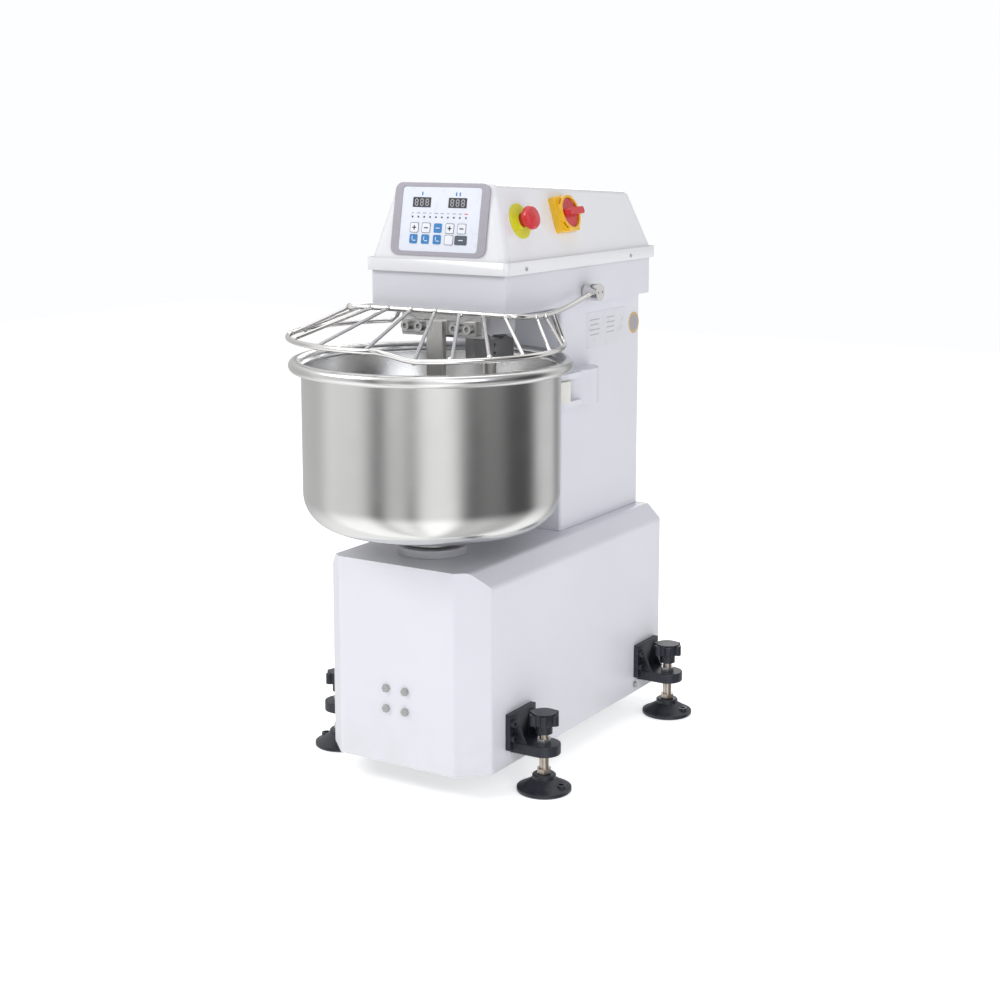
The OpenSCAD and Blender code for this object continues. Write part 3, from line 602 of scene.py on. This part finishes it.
def build_panel():
    face = 2.4
    borders = [key_shape(c, r, 1.4) for c, r in KEY_WHITE]
    print_shapes("key_borders", borders, "ink_black", KEY_FACE, KEY_FACE + 0.08)
    print_shapes("keys_white", [key_shape(c, r) for c, r in KEY_WHITE], "key_white", KEY_FACE, KEY_FACE + 0.3)
    print_shapes("keys_blue", [key_shape(c, r) for c, r in KEY_BLUE], "ink_blue", KEY_FACE, KEY_FACE + 0.3)
    dark = [key_shape(c, r) for c, r in KEY_DARK]
    print_shapes("key_dark_wide", dark, "key_dark", KEY_FACE, KEY_FACE + 0.3)
    marks = []
    for column in (0, 3):
        marks += [(KEY_COLUMNS[column], KEY_ROWS[0], wide, tall, 0.5) for wide, tall in ((8, 2), (2, 8))]
    for column in (1, 4):
        marks.append((KEY_COLUMNS[column], KEY_ROWS[0], 8, 2, 0.5))
    print_shapes("key_marks", marks, "ink_black", KEY_FACE + 0.3, KEY_FACE + 0.4)
    light_marks = [(KEY_COLUMNS[2], KEY_ROWS[0], 8, 1.4, 0.4), (KEY_COLUMNS[4], KEY_ROWS[1], 9, 1.4, 0.4)]
    for column in (0, 1, 2):
        x = KEY_COLUMNS[column]
        light_marks += [(x - 2.5, KEY_ROWS[1] + 1.5, 1.3, 6, 0.4), (x + 1.5, KEY_ROWS[1] - 2.5, 6, 1.3, 0.4)]
    print_shapes("key_light_marks", light_marks, "key_white", KEY_FACE + 0.3, KEY_FACE + 0.4)
    dots = [(-55 + 11.8 * i, 3.6, 3.4, 3.4, 1.65) for i in range(10)]
    labels = [(-55 + 11.8 * i, 10, 7 if i % 3 else 4, 1.6, 0.4) for i in range(9)]
    print_shapes("stop_tick", [(-55 + 11.8 * 9, 10, 7, 1.6, 0.4)], "red_plastic", face, face + 0.06)
    print_shapes("indicator_dots", dots, "ink_black", face, face + 0.12)
    print_shapes("indicator_ticks", labels, "grey_overlay", face, face + 0.06)
    bars = [(DISPLAYS[0], 42.5, 2.8, 6, 0.4)]
    bars += [(DISPLAYS[1] + offset, 42.5, 2.8, 6, 0.4) for offset in (-3.6, 3.6)]
    print_shapes("speed_marks", bars, "ink_blue", face, face + 0.1)
    digits = []
    for x in DISPLAYS:
        for step in (-10.6, 0, 10.6):
            digits += digit_segments(x + step, DISPLAY_Y)
    print_shapes("display_digits", digits, "digit_grey", 2.6, 2.68)


# ---- plates on the column ----


FOIL = 0.6
PLATE_SIZE = (146, 64, 2)
PLATE_SPOT = (253, 735)
PLATE_RULES = [(-45, 18 - 9 * i, 38 - 6 * (i % 2)) for i in range(4)] + [(15, 18 - 9 * i, 30) for i in range(4)]
SEAL_WIDTH = 40
SEAL_CENTRE_WIDTH = 30
SEAL_SPOT = (361, 733.5)


def foil_piece(name, shapes, material, slot, spot, low, high, steps=5):
    """Rounded rectangles (x, y, width, height, radius) between two heights on the column's right side."""
    bm = bmesh.new()
    for x, y, width, height, radius in shapes:
        slab(bm, rounded_outline(mm(width), mm(height), mm(radius), steps), mm(low), mm(high), (mm(x), mm(y)))
    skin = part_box("column_shell")[1].x + mm(0.05)
    turn = Matrix.Rotation(math.pi / 2, 4, "Y") @ Matrix.Rotation(math.pi / 2, 4, "Z")
    piece = add_object(name, mesh_from(name, bm), material, smooth=False)
    place(piece, Matrix.Translation((skin, mm(spot[0]), mm(spot[1]))) @ turn, "frame", slot)


def disc(width):
    return (0, 0, width, width, width / 2 - 0.1)


def build_side_plates():
    """A blank rating plate with plain bars, and a blank round seal."""
    rules = [(x, y, width, 1.6, 0.5) for x, y, width in PLATE_RULES]
    foil_piece("rating_plate", [(0, 0, *PLATE_SIZE)], "plate_foil", "white_overlay", PLATE_SPOT, 0, FOIL)
    foil_piece("rating_plate_rules", rules, "grey_overlay", "grey_overlay", PLATE_SPOT, FOIL, FOIL + 0.06)
    foil_piece("seal_rim", [disc(SEAL_WIDTH)], "seal_gold", "yellow_plastic", SEAL_SPOT, 0, FOIL, 16)
    foil_piece("seal_centre", [disc(SEAL_CENTRE_WIDTH)], "grey_overlay", "grey_overlay", SEAL_SPOT,
               FOIL, FOIL + 0.3, 16)


# ---- welds of the guard ----


def loose_parts(mesh):
    """Vertex positions of each separate solid of a mesh, in the mesh's own order."""
    bm = bmesh.new()
    bm.from_mesh(mesh)
    bmesh.ops.remove_doubles(bm, verts=bm.verts, dist=mm(0.01))
    left = set(bm.verts)
    parts = []
    for seed in bm.verts:
        if seed not in left:
            continue
        left.remove(seed)
        stack = [seed]
        found = [seed]
        while stack:
            for edge in stack.pop().link_edges:
                for vert in edge.verts:
                    if vert in left:
                        left.remove(vert)
                        stack.append(vert)
                        found.append(vert)
        parts.append([vert.co.copy() for vert in found])
    bm.free()
    return parts


WELD_RADIUS = 4.6
WELD_INSET = 4.2


def build_welds():
    """A small fillet bead where each spoke meets the guard's wires."""
    bm = bmesh.new()
    for points in loose_parts(NODES["guard_spokes"].data):
        middle = sum(points, Vector()) / len(points)
        far = max(points, key=lambda p: (p - middle).length)
        axis = (far - middle).normalized()
        reach = max((p - middle).dot(axis) for p in points)
        for end in (-1, 1):
            spot = middle + axis * (reach - mm(WELD_INSET)) * end
            matrix = Matrix.Translation(spot) @ axis.to_track_quat("Z", "Y").to_matrix().to_4x4()
            squash = Matrix.Diagonal((1, 1, 1.15, 1))
            bmesh.ops.create_uvsphere(bm, u_segments=16, v_segments=10, radius=mm(WELD_RADIUS),
                                      matrix=matrix @ squash)
    welds = add_object("guard_welds", mesh_from("guard_welds", bm), "polished_steel")
    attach(welds, "guard")


# ---- assembly ----

bpy.context.scene.view_settings.view_transform = "Standard"
make_camera()
make_world()
make_lights()
make_floor()
finish_nodes()
build_bowl()
build_panel()
build_side_plates()
build_welds()
